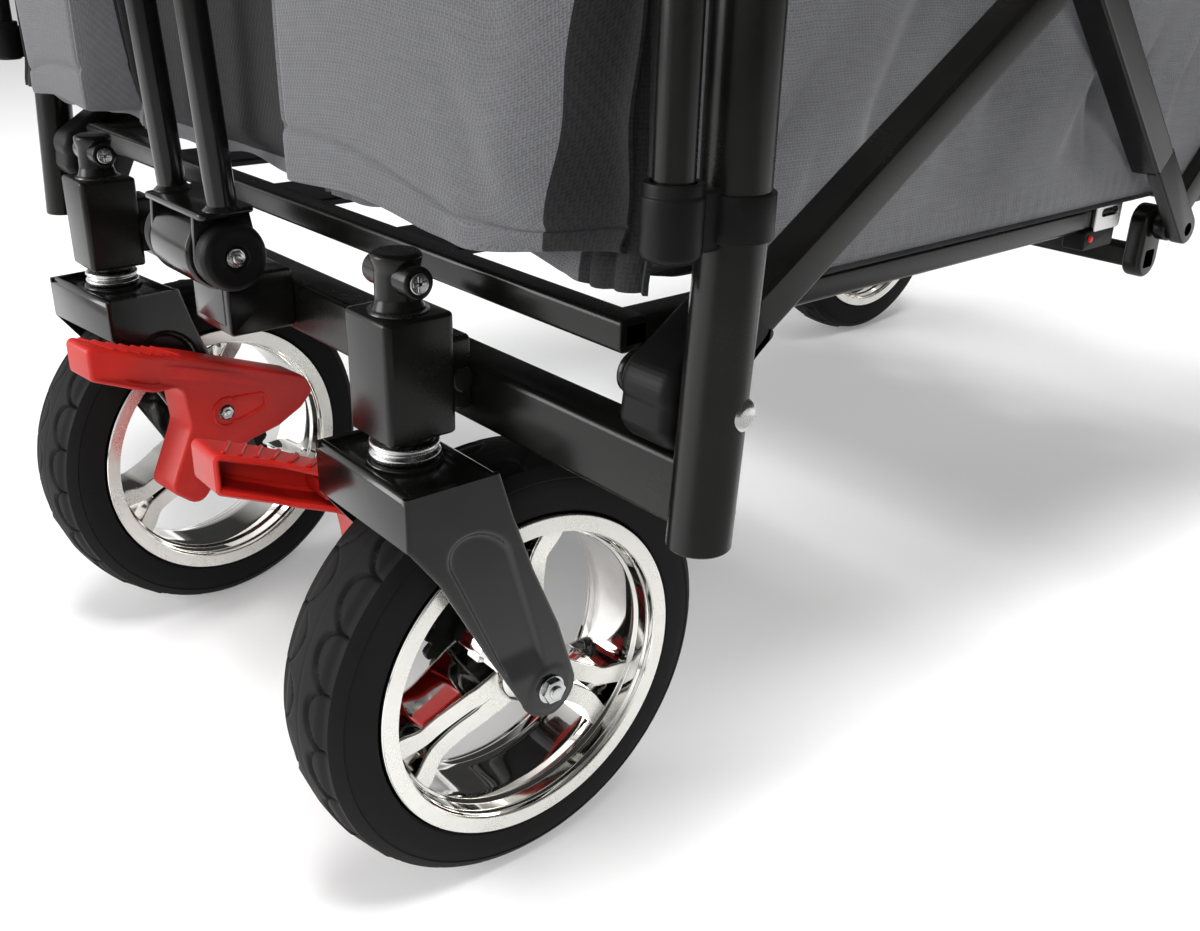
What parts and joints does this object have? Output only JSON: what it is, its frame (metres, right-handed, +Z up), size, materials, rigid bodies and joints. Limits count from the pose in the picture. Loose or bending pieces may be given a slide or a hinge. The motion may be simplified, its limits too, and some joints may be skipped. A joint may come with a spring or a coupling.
{
  "type": "folding wagon",
  "caption": "Collapsible fabric-sided wagon on a crossed-bar frame, with swivel casters in front, foot brakes, a tip-down pull handle and a push handle.",
  "frame": {"origin": "on the ground under the middle of the wagon's box", "axes": "+X to the wagon's left-hand side seen from the front (the picture's right), +Y from the front casters to the push handle, +Z up"},
  "size_m": [0.602, 0.9908, 0.981],
  "materials": {
    "black_powder_coat": "semi-gloss black powder coat",
    "gloss_black_paint": "glossy black paint on pressed steel",
    "black_plastic": "moulded black nylon",
    "zinc_plate": "bright zinc plated steel",
    "chrome": "bright plating with a warm tint",
    "tyre_foam": "solid foam tyre",
    "red_plastic": "semi-gloss red moulding",
    "grey_oxford_cloth": "mid grey oxford weave",
    "charcoal_cloth": "charcoal weave",
    "foam_grip": "soft black foam"
  },
  "bodies": {
    "front_frame": {"front_hoop": "black_powder_coat", "caster_housing_right": "black_powder_coat", "caster_housing_left": "black_powder_coat", "handle_hinge_block": "gloss_black_paint", "front_panel": "grey_oxford_cloth", "side_panel_right": "grey_oxford_cloth", "side_panel_left": "grey_oxford_cloth"},
    "pull_handle": {"handle_frame": "gloss_black_paint", "handle_pivot_bolt": "black_plastic"},
    "handle_slide": {"handle_slide": "chrome", "handle_grip": "foam_grip"},
    "arms_a": {"arm_a_right": "black_powder_coat", "arm_a_left": "black_powder_coat", "arm_foot_front_right": "black_plastic", "arm_foot_front_left": "black_plastic", "cross_rivet_front_right": "zinc_plate", "cross_rivet_front_left": "zinc_plate"},
    "arms_b": {"arm_b_right": "black_powder_coat", "arm_b_left": "black_powder_coat"},
    "arms_c": {"arm_c_right": "black_powder_coat", "arm_c_left": "black_powder_coat"},
    "arms_d": {"arm_d_right": "black_powder_coat", "arm_d_left": "black_powder_coat", "arm_foot_rear_right": "black_plastic", "arm_foot_rear_left": "black_plastic", "cross_rivet_rear_right": "zinc_plate", "cross_rivet_rear_left": "zinc_plate"},
    "sliders_front": {"slider_front_right": "black_plastic", "slider_front_left": "black_plastic"},
    "sliders_rear": {"slider_rear_right": "black_plastic", "slider_rear_left": "black_plastic"},
    "mid_cross": {"mid_cross_tube": "black_powder_coat"},
    "floor_front": {"floor_frame_front": "black_powder_coat", "floor_board_front": "charcoal_cloth"},
    "floor_rear": {"floor_frame_rear": "black_powder_coat", "floor_board_rear": "charcoal_cloth"},
    "rear_frame": {"rear_hoop": "black_powder_coat", "rear_axle_right": "zinc_plate", "rear_axle_left": "zinc_plate", "rear_panel": "grey_oxford_cloth", "push_grip": "foam_grip"},
    "canopy_bow": {"canopy_bow": "black_powder_coat"},
    "caster_right": {"fork_right": "gloss_black_paint", "swivel_ring_right": "zinc_plate", "caster_axle_right": "zinc_plate"},
    "front_wheel_right": {"front_rim_right": "chrome", "front_tyre_right": "tyre_foam", "brake_gear_right": "black_plastic"},
    "pedal_right": {"brake_pedal_right": "red_plastic"},
    "rear_wheel_right": {"rear_rim_right": "chrome", "rear_tyre_right": "tyre_foam"},
    "caster_left": {"fork_left": "gloss_black_paint", "swivel_ring_left": "zinc_plate", "caster_axle_left": "zinc_plate"},
    "front_wheel_left": {"front_rim_left": "chrome", "front_tyre_left": "tyre_foam", "brake_gear_left": "black_plastic"},
    "pedal_left": {"brake_pedal_left": "red_plastic"},
    "rear_wheel_left": {"rear_rim_left": "chrome", "rear_tyre_left": "tyre_foam"}
  },
  "joints": [
    {"name": "fold", "type": "hinge", "parent": "front_frame", "child": "arms_a", "pos_m": [0, -0.41159, 0.265], "axis": [1, 0, 0], "range_deg": [0, 42], "deforming": ["side_panel_right", "side_panel_left"]},
    {"name": "arms_b_turn", "type": "hinge", "parent": "arms_a", "child": "arms_b", "pos_m": [0, -0.19459, 0.4055], "axis": [1, 0, 0], "range_deg": [-75.3, 0]},
    {"name": "arms_c_turn", "type": "hinge", "parent": "arms_b", "child": "arms_c", "pos_m": [0, -0.04829, 0.26493], "axis": [1, 0, 0], "range_deg": [0, 66.6]},
    {"name": "arms_d_turn", "type": "hinge", "parent": "arms_c", "child": "arms_d", "pos_m": [0, 0.09801, 0.4055], "axis": [1, 0, 0], "range_deg": [-75.3, 0]},
    {"name": "rear_frame_turn", "type": "hinge", "parent": "arms_d", "child": "rear_frame", "pos_m": [0, 0.31501, 0.265], "axis": [1, 0, 0], "range_deg": [0, 42]},
    {"name": "sliders_front_turn", "type": "hinge", "parent": "arms_b", "child": "sliders_front", "pos_m": [0, -0.41159, 0.614], "axis": [1, 0, 0], "range_deg": [0, 33.3]},
    {"name": "sliders_rear_turn", "type": "hinge", "parent": "arms_c", "child": "sliders_rear", "pos_m": [0, 0.31501, 0.614], "axis": [1, 0, 0], "range_deg": [-33.3, 0]},
    {"name": "mid_cross_turn", "type": "hinge", "parent": "arms_b", "child": "mid_cross", "pos_m": [0, -0.04829, 0.26493], "axis": [1, 0, 0], "range_deg": [0, 33.3]},
    {"name": "floor_front_turn", "type": "hinge", "parent": "front_frame", "child": "floor_front", "pos_m": [0, -0.38159, 0.2745], "axis": [1, 0, 0], "range_deg": [0, 87]},
    {"name": "floor_rear_turn", "type": "hinge", "parent": "rear_frame", "child": "floor_rear", "pos_m": [0, 0.28501, 0.2745], "axis": [1, 0, 0], "range_deg": [-87, 0]},
    {"name": "swivel_right", "type": "hinge", "parent": "front_frame", "child": "caster_right", "pos_m": [0.151, -0.43959, 0.2], "axis": [0, 0, 1], "continuous": true},
    {"name": "front_wheel_spin_right", "type": "hinge", "parent": "caster_right", "child": "front_wheel_right", "pos_m": [0.15202, -0.3946, 0.1], "axis": [0.9997, -0.0227, 0], "continuous": true},
    {"name": "brake_pedal_turn_right", "type": "hinge", "parent": "caster_right", "child": "pedal_right", "pos_m": [0.15157, -0.4146, 0.142], "axis": [0.9997, -0.0227, 0], "range_deg": [0, 10]},
    {"name": "rear_wheel_spin_right", "type": "hinge", "parent": "rear_frame", "child": "rear_wheel_right", "pos_m": [0.265, 0.38041, 0.115], "axis": [1, 0, 0], "continuous": true},
    {"name": "swivel_left", "type": "hinge", "parent": "front_frame", "child": "caster_left", "pos_m": [-0.151, -0.43959, 0.2], "axis": [0, 0, 1], "continuous": true},
    {"name": "front_wheel_spin_left", "type": "hinge", "parent": "caster_left", "child": "front_wheel_left", "pos_m": [-0.15543, -0.39481, 0.1], "axis": [0.9951, 0.0985, 0], "continuous": true},
    {"name": "brake_pedal_turn_left", "type": "hinge", "parent": "caster_left", "child": "pedal_left", "pos_m": [-0.15346, -0.41471, 0.142], "axis": [0.9951, 0.0985, 0], "range_deg": [0, 10]},
    {"name": "rear_wheel_spin_left", "type": "hinge", "parent": "rear_frame", "child": "rear_wheel_left", "pos_m": [-0.265, 0.38041, 0.115], "axis": [1, 0, 0], "continuous": true},
    {"name": "handle_tip", "type": "hinge", "parent": "front_frame", "child": "pull_handle", "pos_m": [0, -0.44759, 0.262], "axis": [1, 0, 0], "range_deg": [0, 95]},
    {"name": "handle_extend", "type": "slide", "parent": "pull_handle", "child": "handle_slide", "axis": [0, -0.0523, 0.9986], "range_m": [0, 0.2]},
    {"name": "canopy_bow_slide", "type": "slide", "parent": "front_frame", "child": "canopy_bow", "axis": [0, 0, 1], "range_m": [0, 0.22]}
  ],
  "couplings": [
    {"joint": "arms_b_turn", "follows": "fold", "ratio": -1.7917},
    {"joint": "arms_c_turn", "follows": "fold", "ratio": 1.5834},
    {"joint": "arms_d_turn", "follows": "fold", "ratio": -1.7917},
    {"joint": "rear_frame_turn", "follows": "fold", "ratio": 1},
    {"joint": "sliders_front_turn", "follows": "fold", "ratio": 0.7917},
    {"joint": "sliders_rear_turn", "follows": "fold", "ratio": -0.7917},
    {"joint": "mid_cross_turn", "follows": "fold", "ratio": 0.7917},
    {"joint": "floor_front_turn", "follows": "fold", "ratio": 2.07},
    {"joint": "floor_rear_turn", "follows": "fold", "ratio": -2.07}
  ]
}
